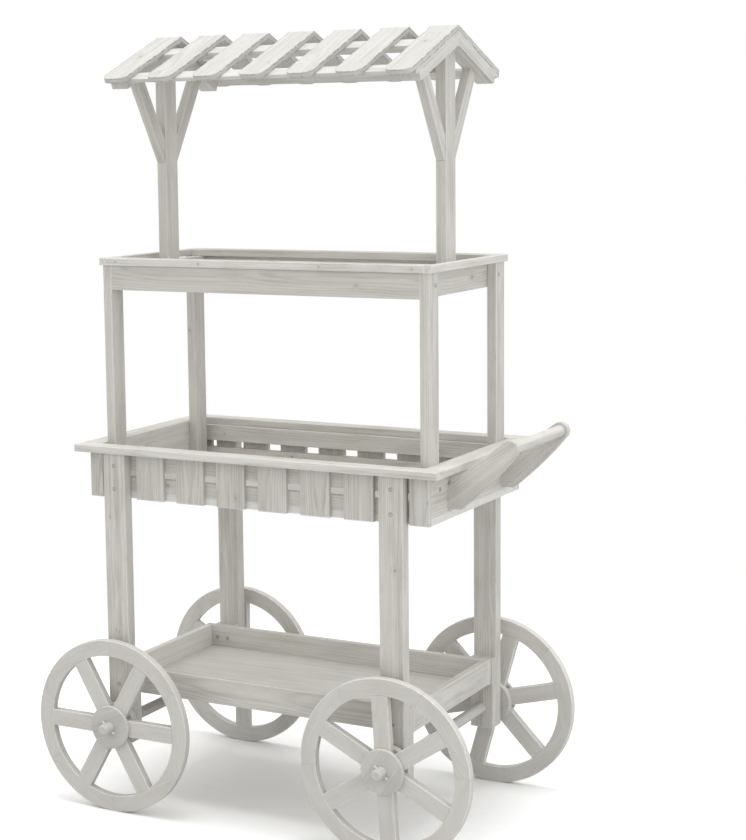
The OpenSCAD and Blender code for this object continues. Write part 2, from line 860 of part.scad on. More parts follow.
module front_left_leg() { color("gainsboro") placed() leg(left, front); }
module front_right_leg() { color("gainsboro") placed() leg(right, front); }
module back_left_leg() { color("gainsboro") placed() leg(left, back); }
module back_right_leg() { color("gainsboro") placed() leg(right, back); }
module left_axle_blocks() { color("silver") placed() axle_blocks(left); }
module right_axle_blocks() { color("silver") placed() axle_blocks(right); }
module left_axle() { color("linen") placed() axle(left); }
module right_axle() { color("linen") placed() axle(right); }
module axle_pegs() { color("linen") placed() pegs(); }

module front_left_wheel_rim() {
    color("lightgray") placed() on_axle(left, front, front_left_turn)
        wheel_rim();
}
module front_left_wheel_spokes() {
    color("gainsboro") placed() on_axle(left, front, front_left_turn)
        wheel_spokes();
}
module front_left_hub_discs() {
    color("silver") placed() on_axle(left, front, front_left_turn)
        hub_discs();
}
module front_right_wheel_rim() {
    color("lightgray") placed() on_axle(right, front, front_right_turn)
        wheel_rim();
}
module front_right_wheel_spokes() {
    color("gainsboro") placed() on_axle(right, front, front_right_turn)
        wheel_spokes();
}
module front_right_hub_discs() {
    color("silver") placed() on_axle(right, front, front_right_turn)
        hub_discs();
}
module back_left_wheel_rim() {
    color("lightgray") placed() on_axle(left, back, back_left_turn)
        wheel_rim();
}
module back_left_wheel_spokes() {
    color("gainsboro") placed() on_axle(left, back, back_left_turn)
        wheel_spokes();
}
module back_left_hub_discs() {
    color("silver") placed() on_axle(left, back, back_left_turn)
        hub_discs();
}
module back_right_wheel_rim() {
    color("lightgray") placed() on_axle(right, back, back_right_turn)
        wheel_rim();
}
module back_right_wheel_spokes() {
    color("gainsboro") placed() on_axle(right, back, back_right_turn)
        wheel_spokes();
}
module back_right_hub_discs() {
    color("silver") placed() on_axle(right, back, back_right_turn)
        hub_discs();
}

module lower_tray_front_board() { color("gainsboro") placed() lower_side_board(front); }
module lower_tray_back_board() { color("gainsboro") placed() lower_side_board(back); }
module lower_tray_left_board() { color("lightgray") placed() lower_end_board(lower_x0); }
module lower_tray_right_board() { color("lightgray") placed() lower_end_board(lower_x1 - lower_board_t); }
module lower_tray_floor() { color("whitesmoke") placed() lower_floor(); }

module main_tray_floor() { color("whitesmoke") placed() tray_floor(); }
module left_end_panel() { color("lightgray") placed() end_panel(left); }
module right_end_panel() { color("lightgray") placed() end_panel(right); }
module front_rails() { color("silver") placed() rails(front); }
module back_rails() { color("silver") placed() rails(back); }
module front_slats() { color("gainsboro") placed() slats(front); }
module back_slats() { color("gainsboro") placed() slats(back); }
module main_rim_front_board() { color("whitesmoke") placed() rim_side_board(front); }
module main_rim_back_board() { color("whitesmoke") placed() rim_side_board(back); }
module main_rim_left_board() { color("white") placed() rim_end_board(left); }
module main_rim_right_board() { color("white") placed() rim_end_board(right); }

module handle_front_arm() { color("gainsboro") placed() arm(front); }
module handle_back_arm() { color("gainsboro") placed() arm(back); }
module handle_grip() { color("linen") placed() grip(); }

module front_left_post() { color("gainsboro") placed() post(left, front); }
module front_right_post() { color("gainsboro") placed() post(right, front); }
module back_left_post() { color("gainsboro") placed() post(left, back); }
module back_right_post() { color("gainsboro") placed() post(right, back); }
module upper_tray_front_apron() { color("lightgray") placed() long_apron(front); }
module upper_tray_back_apron() { color("lightgray") placed() long_apron(back); }
module upper_tray_left_apron() { color("silver") placed() end_apron(left); }
module upper_tray_right_apron() { color("silver") placed() end_apron(right); }
module upper_tray_floor() { color("whitesmoke") placed() upper_floor(); }
module upper_rim_boards() { color("whitesmoke") placed() upper_rim(); }
module upper_rim_end_strips() { color("white") placed() end_strips(); }

module left_roof_post() { color("gainsboro") placed() roof_post(left); }
module right_roof_post() { color("gainsboro") placed() roof_post(right); }
module roof_braces() { color("lightgray") placed() braces(); }
module rafters() { color("silver") placed() rafter_frame(); }
module roof_battens() { color("gainsboro") placed() battens(); }
module front_roof_slats() { color("white") placed() roof_slope(front); }
module back_roof_slats() { color("white") placed() roof_slope(back); }
module screws() { color("slategray") placed() screw_set(); }

front_left_leg();
front_right_leg();
back_left_leg();
back_right_leg();
left_axle_blocks();
right_axle_blocks();
left_axle();
right_axle();
axle_pegs();
front_left_wheel_rim();
front_left_wheel_spokes();
front_left_hub_discs();
front_right_wheel_rim();
front_right_wheel_spokes();
front_right_hub_discs();
back_left_wheel_rim();
back_left_wheel_spokes();
back_left_hub_discs();
back_right_wheel_rim();
back_right_wheel_spokes();
back_right_hub_discs();
lower_tray_front_board();
lower_tray_back_board();
lower_tray_left_board();
lower_tray_right_board();
lower_tray_floor();
main_tray_floor();
left_end_panel();
right_end_panel();
front_rails();
back_rails();
front_slats();
back_slats();
main_rim_front_board();
main_rim_back_board();
main_rim_left_board();
main_rim_right_board();
handle_front_arm();
handle_back_arm();
handle_grip();
front_left_post();
front_right_post();
back_left_post();
back_right_post();
upper_tray_front_apron();
upper_tray_back_apron();
upper_tray_left_apron();
upper_tray_right_apron();
upper_tray_floor();
upper_rim_boards();
upper_rim_end_strips();
left_roof_post();
right_roof_post();
roof_braces();
rafters();
roof_battens();
front_roof_slats();
back_roof_slats();
screws();
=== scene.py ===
import math
import random
import bmesh
import bpy
from mathutils import Matrix, Vector


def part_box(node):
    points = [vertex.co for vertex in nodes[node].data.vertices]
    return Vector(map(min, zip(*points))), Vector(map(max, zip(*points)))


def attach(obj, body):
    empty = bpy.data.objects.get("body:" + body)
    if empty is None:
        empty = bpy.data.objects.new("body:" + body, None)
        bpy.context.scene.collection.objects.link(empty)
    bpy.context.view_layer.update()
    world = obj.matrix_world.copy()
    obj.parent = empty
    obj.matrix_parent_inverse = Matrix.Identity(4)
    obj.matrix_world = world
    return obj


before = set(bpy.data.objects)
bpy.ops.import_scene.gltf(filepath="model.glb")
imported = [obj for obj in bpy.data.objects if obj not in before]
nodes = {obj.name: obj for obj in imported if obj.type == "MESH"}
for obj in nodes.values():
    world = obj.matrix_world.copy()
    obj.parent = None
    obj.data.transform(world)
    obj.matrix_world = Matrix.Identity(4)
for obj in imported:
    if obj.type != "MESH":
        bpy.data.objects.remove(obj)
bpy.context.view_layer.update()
random.seed(41)
print("frame loaded:", len(nodes), "nodes")


def middle(node):
    low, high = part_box(node)
    return (low + high) / 2


def halfSize(node):
    low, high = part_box(node)
    return (high - low) / 2


# camera at the photo's viewing angle, from the picture's vanishing lines
camera = {
    "place": (2.2902, -4.1694, 1.6853),
    "yaw": 29.1138,
    "pitch": -7.5717,
    "roll": -0.7964,
    "focal": 1920.65,
    "axisPixel": (300, 390),
    "pictureSize": (746, 840),
}


def aimCamera():
    yaw, pitch, roll = (math.radians(camera[k]) for k in ("yaw", "pitch", "roll"))
    level = Vector((math.cos(yaw), math.sin(yaw), 0))
    flat = Vector((-math.sin(yaw), math.cos(yaw), 0))
    ahead = flat * math.cos(pitch) + Vector((0, 0, math.sin(pitch)))
    upright = level.cross(ahead)
    side = level * math.cos(roll) + upright * math.sin(roll)
    top = upright * math.cos(roll) - level * math.sin(roll)
    lens = bpy.data.cameras.new("photoCamera")
    wide, tall = camera["pictureSize"]
    lens.sensor_width = 36
    lens.lens = camera["focal"] * 36 / tall
    lens.shift_x = (wide / 2 - camera["axisPixel"][0]) / tall
    lens.shift_y = (camera["axisPixel"][1] - tall / 2) / tall
    lens.clip_end = 60
    seat = bpy.data.objects.new("photoCamera", lens)
    turned = Matrix((side, top, -ahead)).transposed().to_4x4()
    seat.matrix_world = Matrix.Translation(camera["place"]) @ turned
    bpy.context.scene.collection.objects.link(seat)
    bpy.context.scene.camera = seat


aimCamera()
print("camera placed")


class Wire:
    # a socket that can be used in sums
    def __init__(self, finish, socket):
        self.finish = finish
        self.socket = socket

    def maths(self, operation, *others):
        return self.finish.add("ShaderNodeMath", {"operation": operation}, [self, *others])

    def __add__(self, other):
        return self.maths("ADD", other)

    def __sub__(self, other):
        return self.maths("SUBTRACT", other)

    def __mul__(self, other):
        return self.maths("MULTIPLY", other)

    def __truediv__(self, other):
        return self.maths("DIVIDE", other)

    def __rsub__(self, other):
        return self.finish.add("ShaderNodeMath", {"operation": "SUBTRACT"}, [other, self])

    def __rtruediv__(self, other):
        return self.finish.add("ShaderNodeMath", {"operation": "DIVIDE"}, [other, self])

    def __gt__(self, other):
        return self.maths("GREATER_THAN", other)

    def __lt__(self, other):
        return self.maths("LESS_THAN", other)

    def __mod__(self, other):
        return self.maths("FLOORED_MODULO", other)

    def __abs__(self):
        return self.maths("ABSOLUTE")

    __radd__ = __add__
    __rmul__ = __mul__

    def root(self):
        return self.maths("SQRT")

    def least(self, other):
        return self.maths("MINIMUM", other)

    def most(self, other):
        return self.maths("MAXIMUM", other)


class Finish:
    # one material, written as expressions
    def __init__(self, name):
        self.material = bpy.data.materials.new(name)
        self.material.use_nodes = True
        self.tree = self.material.node_tree
        self.tree.nodes.clear()

    def add(self, kind, settings=None, values=(), out=0):
        node = self.tree.nodes.new(kind)
        for key, value in (settings or {}).items():
            setattr(node, key, value)
        for key, value in (values.items() if isinstance(values, dict) else enumerate(values)):
            if isinstance(value, Wire):
                self.tree.links.new(value.socket, node.inputs[key])
            else:
                node.inputs[key].default_value = value
        return Wire(self, node.outputs[out])

    def spot(self):
        here = self.add("ShaderNodeTexCoord", out="Object")
        return tuple(self.add("ShaderNodeSeparateXYZ", {}, [here], out=k) for k in range(3))

    def vector(self, x, y, z):
        return self.add("ShaderNodeCombineXYZ", {}, [x, y, z])

    def noise(self, at, detail=2.0, rough=0.5, warp=0.0):
        values = {"Vector": at, "Scale": 1.0, "Detail": detail, "Roughness": rough, "Distortion": warp}
        return self.add("ShaderNodeTexNoise", {"noise_dimensions": "3D"}, values)

    def dice(self, number):
        return self.add("ShaderNodeTexWhiteNoise", {"noise_dimensions": "1D"}, {"W": number})

    def ease(self, value, low, high, start=0.0, end=1.0):
        if low > high:
            low, high, start, end = high, low, end, start
        smooth = {"interpolation_type": "SMOOTHSTEP"}
        return self.add("ShaderNodeMapRange", smooth, [value, low, high, start, end])

    def blend(self, share, first, second):
        colours = [c if isinstance(c, Wire) else (*c, 1) for c in (first, second)]
        values = {0: share, 6: colours[0], 7: colours[1]}
        return self.add("ShaderNodeMix", {"data_type": "RGBA"}, values, out=2)

    def close(self, shader):
        end = self.tree.nodes.new("ShaderNodeOutputMaterial")
        self.tree.links.new(shader.socket, end.inputs["Surface"])
        return self.material

    def coat(self, **sockets):
        named = {key.replace("_", " "): value for key, value in sockets.items()}
        return self.close(self.add("ShaderNodeBsdfPrincipled", {}, named))


# how the wash lies on a board, and how its rings and fibres run
greyWash = {
    "wash": (0.600, 0.584, 0.552),
    "thin": (0.455, 0.438, 0.405),
    "late": (0.360, 0.346, 0.318),
    "knot": (0.250, 0.225, 0.190),
    "edge": (0.700, 0.688, 0.660),
    "dirtAndShade": (0.330, 0.322, 0.300),
    "ringPitch": 0.0046,
    "ringShare": 0.55,
    "fibreShare": 0.50,
    "streakShare": 0.62,
    "thinShare": 0.35,
    "paleFibre": 0.35,
    "boardShare": 0.22,
    "knotShare": 0.60,
    "swellShare": 0.30,
    "edgeWidth": 0.0026,
    "edgeShare": 0.55,
    "dirtAndShadeFrom": 0.60,
    "dirtAndShadeShare": 0.55,
    "speckShare": 0.20,
    "taper": 0.045,
    "wander": 0.020,
    "relief": 0.0005,
    "roughness": 0.62,
}
floorWash = dict(greyWash, wash=(0.655, 0.641, 0.609), ringShare=0.30, fibreShare=0.30)
# painted light: a paler copy of the floor wash, lifting the shade on the tray floors and the lower tray's
# left board under the parts above them
paintedLightWash = dict(floorWash, wash=(0.720, 0.706, 0.672), thin=(0.600, 0.586, 0.552),
                late=(0.500, 0.486, 0.450), ringShare=0.20)
# painted shade: a darker copy of the wash for the upper tray's front and right aprons, whose faces the lamps
# light more strongly
paintedShadeApronWash = dict(greyWash, wash=(0.565, 0.549, 0.517))
# painted light: a lighter copy of the wash for boards whose inner faces lie in the shade inside the trays
paintedLightInnerWash = dict(greyWash, wash=(0.660, 0.643, 0.608), thin=(0.520, 0.502, 0.466),
                 late=(0.410, 0.394, 0.362))
slatWash = dict(greyWash, ringPitch=0.0036, ringShare=0.80, fibreShare=0.50)
wheelWash = dict(greyWash, ringShare=0.08, fibreShare=0.22, streakShare=0.22,
                 edge=(0.800, 0.790, 0.765), edgeWidth=0.0020, edgeShare=0.80)
# painted shade: a darker copy of the wheel wash, edges included, for the front wheels, which the lamps light
# more than the back ones
paintedShadeFrontWheelWash = dict(wheelWash, wash=(0.570, 0.555, 0.524), edge=(0.740, 0.730, 0.705))
# roof slats: a wide, strong dark band along their edges, dirt and painted shade of the gaps between the slats
roofWash = dict(greyWash, wash=(0.545, 0.538, 0.518), thin=(0.470, 0.461, 0.438),
                late=(0.370, 0.360, 0.338), edge=(0.590, 0.583, 0.565), dirtAndShade=(0.250, 0.243, 0.225),
                edgeWidth=0.0042, edgeShare=0.35, dirtAndShadeFrom=0.42, dirtAndShadeShare=0.85, speckShare=0.60,
                fibreShare=0.70, relief=0.0010)
underWash = dict(greyWash, wash=(0.625, 0.612, 0.582), thin=(0.500, 0.488, 0.460))
turnedWash = dict(greyWash, wash=(0.620, 0.606, 0.576), ringShare=0.35, fibreShare=0.50,
                  edgeShare=0.30)
axleWash = dict(turnedWash, wash=(0.540, 0.526, 0.498), edge=(0.600, 0.588, 0.560), edgeShare=0.15)
discWash = dict(turnedWash, wash=(0.540, 0.526, 0.498), thin=(0.430, 0.418, 0.392))

# noise over a board: its pace along, across and through it, then detail, roughness and distortion
patterns = {
    "wander": ((2.5, 7, 7), 2.0, 0.5, 0.0),
    "fibre": ((9, 520, 520), 3.0, 0.62, 0.0),
    "streak": ((2.4, 95, 95), 2.0, 0.55, 0.0),
    "patch": ((7, 26, 26), 3.0, 0.55, 0.3),
    "ragged": ((60, 240, 240), 2.0, 0.6, 0.0),
    "speck": ((90, 330, 330), 3.0, 0.65, 0.0),
}

# where each pattern starts to show, and where it is full
steps = {
    "ringRise": (0.30, 0.86),
    "ringFall": (1.0, 0.88),
    "streak": (0.38, 0.72),
    "patch": (0.42, 0.68),
    "darkFibre": (0.50, 0.72),
    "paleFibre": (0.44, 0.28),
    "raisedFibre": (0.45, 0.75),
    "speck": (0.58, 0.72),
}

# where in a log each board was sawn, in metres, and three throws for it
sawn = {"along": 3.7, "across": 0.06, "through": 0.05, "pithSide": 0.09, "pithDepth": 0.026}
throws = (0.37, 7.91, 3.3)

# a knot's length against its width, how far its swell and its core reach in radii, and the rings' bulge
knotShape = {"stretch": 0.62, "swell": (4.2, 0.4), "core": (1.15, 0.55), "bulge": 0.012}


def noiseOver(f, name, spot, shift=0.0):
    (along, across, through), *rest = patterns[name]
    u, v, w = spot
    return f.noise(f.vector(u * along, v * across, w * through + shift), *rest)


def knotMasks(f, knots, along, across, through, row):
    # the swell round the knots, and their dark cores
    near = core = None
    for (a, b, c), radius, *board in knots:
        da, db, dc = (along - a) * knotShape["stretch"], across - b, through - c
        gap = (da * da + db * db + dc * dc).root()
        if board:
            gap = gap + (abs(row - board[0] * boardStep) > boardStep / 2)
        swell, heart = (f.ease(gap, *(radius * k for k in knotShape[part])) for part in ("swell", "core"))
        near, core = (swell, heart) if near is None else (near.most(swell), core.most(heart))
    return near, core


def rimGap(gaps):
    # distance to the nearest of a board's edges, which is the second smallest distance to its sides
    if len(gaps) == 3:
        a, b, c = gaps
        return a.least(b).most(a.most(b).least(c))
    if len(gaps) == 2:
        return gaps[0].most(gaps[1])
    return gaps[0] if gaps else None


def washedWood(name, look, place, knots=()):
    # place gives a spot along the grain, across it and through the board, and how far off its sides it is
    f = Finish(name)
    along, across, through, gaps, row, seam = place(f, *f.spot())
    number = row + hashOf(name)
    if not isinstance(number, Wire):
        number = f.add("ShaderNodeMath", {"operation": "ADD"}, [number, 0.0])
    first, second, third = (f.dice(number + throw) for throw in throws)
    u = along + first * sawn["along"]
    v = across + (first - 0.5) * sawn["across"]
    w = through + second * sawn["through"]
    spot = u, v, w

    # rings round the pith, which bulge round a knot
    near, core = knotMasks(f, knots, along, across, through, row)
    pithV, pithW = v + (second - 0.5) * sawn["pithSide"], w + sawn["pithDepth"]
    wander = (noiseOver(f, "wander", spot, second * 9) - 0.5) * look["wander"]
    reach = (pithV * pithV + pithW * pithW).root() + wander + u * (first - 0.5) * look["taper"]
    if near:
        reach = reach + near * knotShape["bulge"]
    turn = (reach / look["ringPitch"]) % 1.0
    rings = f.ease(turn, *steps["ringRise"]) * f.ease(turn, *steps["ringFall"])

    # the wash is thinner on raised grain, and each board took it in its own way
    fibre = noiseOver(f, "fibre", spot)
    streak = f.ease(noiseOver(f, "streak", spot, first * 5), *steps["streak"])
    thinness = f.ease(noiseOver(f, "patch", spot, second * 4), *steps["patch"])
    tone = f.blend(streak * look["streakShare"] + thinness * look["thinShare"], look["wash"], look["thin"])
    tone = f.blend(rings * look["ringShare"] * (thinness * 0.55 + 0.45), tone, look["late"])
    tone = f.blend(f.ease(fibre, *steps["darkFibre"]) * look["fibreShare"], tone, look["thin"])
    tone = f.blend(f.ease(fibre, *steps["paleFibre"]) * look["paleFibre"], tone, look["edge"])
    tone = f.blend(third * look["boardShare"], tone, f.blend(0.6, look["thin"], look["edge"]))
    if near:
        tone = f.blend(near * look["swellShare"], tone, look["late"])
        tone = f.blend(core * look["knotShare"], tone, look["knot"])

    # edges rubbed pale, with dirt in places; on the roof slats the dark band is wide and strong, dirt and
    # painted shade of the gaps between slats
    rim = rimGap(gaps)
    if rim is not None:
        ragged = noiseOver(f, "ragged", (along, across, through), first * 3)
        worn = f.ease(rim + (ragged - 0.5) * 0.003, look["edgeWidth"], 0.0004)
        dirtAndShadeMask = f.ease(ragged, look["dirtAndShadeFrom"], look["dirtAndShadeFrom"] + 0.10)
        tone = f.blend(worn * look["edgeShare"], tone, look["edge"])
        tone = f.blend(worn * dirtAndShadeMask * look["dirtAndShadeShare"], tone, look["dirtAndShade"])
    speck = f.ease(noiseOver(f, "speck", spot, third * 6), *steps["speck"])
    tone = f.blend(speck * look["speckShare"], tone, look["dirtAndShade"])
    if seam is not None:
        tone = f.blend(seam, tone, look["dirtAndShade"])
    height = 1 - rings * 0.55 - f.ease(fibre, *steps["raisedFibre"]) * 0.45
    relief = f.add("ShaderNodeBump", {}, {"Strength": 0.55, "Distance": look["relief"], "Height": height})
    return f.coat(Base_Color=tone, Roughness=look["roughness"] + rings * 0.1 + thinness * 0.08,
                  Normal=relief, Specular_IOR_Level=0.32)


def hashOf(word):
    # a fixed number for each name, so that no two pieces share their grain
    return (sum((k + 1) * ord(c) for k, c in enumerate(word)) % 997) / 7


# places: each gives along, across, through, distances to the sides, a number for the board, and a seam mask
grainOrder = {"x": (0, 2, 1), "y": (1, 2, 0), "z": (2, 0, 1)}
boardStep, slopeStep = 1.7, 3.1  # what the next board and the other slope add to a board's number


def asBoard(node, grain):
    mid, half = middle(node), halfSize(node)

    def place(f, *spot):
        values = [spot[k] - mid[k] for k in grainOrder[grain]]
        return (*values, [half[k] - abs(v) for k, v in zip(grainOrder[grain], values)], 0.0, None)
    return place


def rowOf(node, axis):
    # the stretches of an axis that a node's boards take
    mesh = nodes[node].data
    faces = ([mesh.vertices[k].co[axis] for k in face.vertices] for face in mesh.polygons)
    stretches = []
    for low, high in sorted((min(spread), max(spread)) for spread in faces):
        if stretches and low < stretches[-1][1] + 0.0001:
            stretches[-1][1] = max(high, stretches[-1][1])
        else:
            stretches.append([low, high])
    return stretches


def stepped(value, boards):
    # middle, half width and number of the board that a coordinate falls in
    low, high = boards[0]
    centre, half, number = value * 0 + (low + high) / 2, value * 0 + (high - low) / 2, value * 0
    for before, after in zip(boards, boards[1:]):
        past = value > (before[1] + after[0]) / 2
        centre = past * ((after[0] + after[1] - before[0] - before[1]) / 2) + centre
        half = past * ((after[1] - after[0] - before[1] + before[0]) / 2) + half
        number = past * boardStep + number
    return centre, half, number


def inRow(node, grain, axis):
    # boards side by side along one axis
    mid, size, boards = middle(node), halfSize(node), rowOf(node, axis)

    def place(f, *spot):
        centre, half, number = stepped(spot[axis], boards)
        values = [spot[k] - (centre if k == axis else mid[k]) for k in grainOrder[grain]]
        sizes = [half if k == axis else size[k] for k in grainOrder[grain]]
        return (*values, [s - abs(v) for s, v in zip(sizes, values)], number, None)
    return place


wheelPlan = {
    "turns": {"front_left": 0, "front_right": 33.5, "back_left": 30, "back_right": 14.5},
    "tread": 0.220,
    "inside": 0.180,
    "spokeHalf": 0.021,
    "sector": 60,
    "seamHalf": 0.0007,
    "discLean": 25,
}


def aroundHub(node, x, z):
    mid = middle(node)
    dx, dz = x - mid.x, z - mid.z
    return (dx * dx + dz * dz).root(), dz.maths("ARCTAN2", dx)


def asFelloes(wheel):
    node, turn = wheel + "_wheel_rim", math.radians(wheelPlan["turns"][wheel])
    mid, half = middle(node), halfSize(node)
    step = math.radians(wheelPlan["sector"])
    middleReach = (wheelPlan["inside"] + wheelPlan["tread"]) / 2

    def place(f, x, y, z):
        reach, angle = aroundHub(node, x, z)
        sector = ((angle - turn) / step + 0.5).maths("FLOOR")
        off = angle - turn - sector * step
        along, across = reach * off.maths("SINE"), reach * off.maths("COSINE") - middleReach
        through = y - mid.y
        edge = (reach - wheelPlan["inside"]).least(wheelPlan["tread"] - reach)
        joint = (step / 2 - abs(off)) * reach
        seam = f.ease(joint, wheelPlan["seamHalf"], 0.0002) * 0.3
        return along, across, through, [edge, half.y - abs(through)], sector % 6 * boardStep, seam
    return place


def asSpokes(wheel):
    node, turn = wheel + "_wheel_spokes", math.radians(wheelPlan["turns"][wheel])
    mid, half = middle(node), halfSize(node)
    step = math.radians(wheelPlan["sector"])

    def place(f, x, y, z):
        reach, angle = aroundHub(node, x, z)
        sector = ((angle - turn) / step + 0.5).maths("FLOOR")
        off = angle - turn - sector * step
        along, across, through = reach * off.maths("COSINE"), reach * off.maths("SINE"), y - mid.y
        seam = f.ease(abs(through), wheelPlan["seamHalf"], 0.0002) * 0.45
        gaps = [wheelPlan["spokeHalf"] - abs(across), half.y - abs(through)]
        return along, across, through, gaps, sector % 6 * boardStep, seam
    return place


def asDiscs(wheel):
    node = wheel + "_hub_discs"
    mid, half = middle(node), halfSize(node)

    def place(f, x, y, z):
        reach, _ = aroundHub(node, x, z)
        lean = math.radians(wheelPlan["turns"][wheel] + wheelPlan["discLean"])
        dx, dz = x - mid.x, z - mid.z
        along, across = dx * math.cos(lean) + dz * math.sin(lean), dz * math.cos(lean) - dx * math.sin(lean)
        return along, across, y - mid.y, [half.x - reach], 0.0, None
    return place


def asDowels(node):
    mid, half = middle(node), halfSize(node)

    def place(f, x, y, z):
        along = y - mid.y
        return along, x - mid.x, z - mid.z, [half.y - abs(along)], (x > mid.x) * boardStep, None
    return place


roofPlan = {
    "pitch": math.radians(22.6),
    "slatHalf": 0.006,
    "slatAt": 0.037,
    "rafterAt": 0.0105,
    "battenAt": 0.026,
    "battenHalf": 0.0215,
    "upperBatten": 0.0555,
}
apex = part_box("left_roof_post")[1].z


def downSlope(y, z):
    # distance down the slope, and square to it
    side, drop, pitch = abs(y), z - apex, roofPlan["pitch"]
    down = side * math.cos(pitch) - drop * math.sin(pitch)
    return down, side * math.sin(pitch) + drop * math.cos(pitch)


def reachOf(node):
    return max(downSlope(v.co.y, v.co.z)[0] for v in nodes[node].data.vertices)


def asRoofSlats(node):
    boards, eave = rowOf(node, 0), reachOf(node)

    def place(f, x, y, z):
        down, square = downSlope(y, z)
        centre, half, number = stepped(x, boards)
        across, through = x - centre, square - roofPlan["slatAt"]
        gaps = [eave - down, half - abs(across), roofPlan["slatHalf"] - abs(through)]
        return down, across, through, gaps, number, None
    return place


def asRafters(node):
    boards = rowOf(node, 0)

    def place(f, x, y, z):
        down, square = downSlope(y, z)
        centre, half, number = stepped(x, boards)
        through = square - roofPlan["rafterAt"]
        gaps = [half - abs(x - centre), roofPlan["rafterAt"] - abs(through)]
        return down, x - centre, through, gaps, number + (y > 0) * slopeStep, None
    return place


def asBattens(node):
    upper, half = roofPlan["upperBatten"], roofPlan["battenHalf"]
    eave = reachOf(node) - half

    def place(f, x, y, z):
        down, square = downSlope(y, z)
        between = (down > upper + half) * (down < eave - half)
        low = down > (upper + eave) / 2
        offset = down - (low * (eave - upper) + upper)
        along, across = between * (down - x) + x, between * (x - offset) + offset
        number = low * boardStep + (y > 0) * slopeStep + between * 5.3 + (x > 0) * between
        return along, across, square - roofPlan["battenAt"], [], number, None
    return place


bracePlan = {"lean": math.radians(31), "outer": (0.030, 1.621), "half": 0.0165}


def asBraces(node):
    boards = rowOf(node, 0)
    sine, cosine = math.sin(bracePlan["lean"]), math.cos(bracePlan["lean"])
    outerY, footZ = bracePlan["outer"]
    line = outerY * cosine - footZ * sine - bracePlan["half"]

    def place(f, x, y, z):
        side = abs(y)
        centre, half, number = stepped(x, boards)
        along, across = side * sine + z * cosine, side * cosine - z * sine - line
        gaps = [bracePlan["half"] - abs(across), half - abs(x - centre)]
        return along, across, x - centre, gaps, number + (y > 0) * slopeStep, None
    return place


armPlan = {"slope": math.radians(38), "top": 0.021}


def asArm(node):
    mid, half, grip = middle(node), halfSize(node), middle("handle_grip")
    sine, cosine = math.sin(armPlan["slope"]), math.cos(armPlan["slope"])

    def place(f, x, y, z):
        dx, dz = x - grip.x, z - grip.z
        along, across = dx * cosine + dz * sine, dz * cosine - dx * sine
        return along, across, y - mid.y, [armPlan["top"] - across, half.y - abs(y - mid.y)], 0.0, None
    return place


print("wood recipes ready")

# knots: (along, across, through) from the board's middle, radius, and which board of a row
knotsIn = {
    "upper_tray_right_apron": [((0.077, 0.001, 0.010), 0.0050)],
    "right_end_panel": [((-0.150, -0.012, 0.010), 0.0045)],
    "main_rim_left_board": [((-0.120, 0.004, 0.003), 0.0040)],
    "front_left_leg": [((-0.078, -0.004, -0.015), 0.0017), ((-0.082, 0.005, -0.015), 0.0020),
                       ((0.210, -0.014, -0.015), 0.0024)],
    "front_right_leg": [((0.150, 0.010, -0.015), 0.0032)],
    "back_left_post": [((0.080, -0.004, -0.025), 0.0030)],
    "lower_tray_front_board": [((-0.240, -0.012, 0.009), 0.0040)],
    "lower_tray_floor": [((0.170, 0.004, -0.060), 0.0050)],
    "main_tray_floor": [((-0.200, 0.009, 0.080), 0.0055)],
    "front_rails": [((-0.247, 0.004, -0.009), 0.0036, 0)],
    "back_rails": [((-0.170, 0.006, -0.009), 0.0036, 0), ((0.260, -0.006, -0.009), 0.0036, 1)],
    "front_slats": [((-0.002, 0.022, -0.006), 0.0020, 7), ((-0.030, 0.016, -0.006), 0.0026, 3)],
    "back_slats": [((0.020, 0.012, 0.006), 0.0032, 2), ((-0.026, -0.010, 0.006), 0.0028, 6)],
    "upper_tray_front_apron": [((0.262, -0.002, -0.009), 0.0024)],
    "main_rim_front_board": [((-0.330, 0.009, 0.010), 0.0034), ((0.220, 0.009, -0.006), 0.0030)],
    "front_roof_slats": [((0.118, -0.006, 0.006), 0.0044, 0), ((0.084, -0.006, 0.006), 0.0042, 6),
                         ((0.190, 0.016, 0.006), 0.0026, 3)],
    "back_roof_slats": [((0.150, -0.014, 0.006), 0.0040, 2), ((0.090, 0.018, 0.006), 0.0030, 5)],
}

corners = "front_left", "front_right", "back_left", "back_right"
dress = {}
for corner in corners:
    dress[corner + "_leg"] = greyWash, asBoard(corner + "_leg", "z")
    dress[corner + "_post"] = greyWash, asBoard(corner + "_post", "z")
    # painted shade: the front wheels take the darker wheel wash
    look = paintedShadeFrontWheelWash if corner.startswith("front") else wheelWash
    dress[corner + "_wheel_rim"] = look, asFelloes(corner)
    dress[corner + "_wheel_spokes"] = look, asSpokes(corner)
    dress[corner + "_hub_discs"] = discWash, asDiscs(corner)
for end in ("left", "right"):
    dress[end + "_axle_blocks"] = greyWash, inRow(end + "_axle_blocks", "z", 1)
    dress[end + "_axle"] = axleWash, asDowels(end + "_axle")
    dress["lower_tray_" + end + "_board"] = greyWash, asBoard("lower_tray_" + end + "_board", "y")
    dress[end + "_end_panel"] = greyWash, asBoard(end + "_end_panel", "y")
    dress["main_rim_" + end + "_board"] = floorWash, asBoard("main_rim_" + end + "_board", "y")
    dress["upper_tray_" + end + "_apron"] = greyWash, asBoard("upper_tray_" + end + "_apron", "y")
    dress[end + "_roof_post"] = greyWash, asBoard(end + "_roof_post", "z")
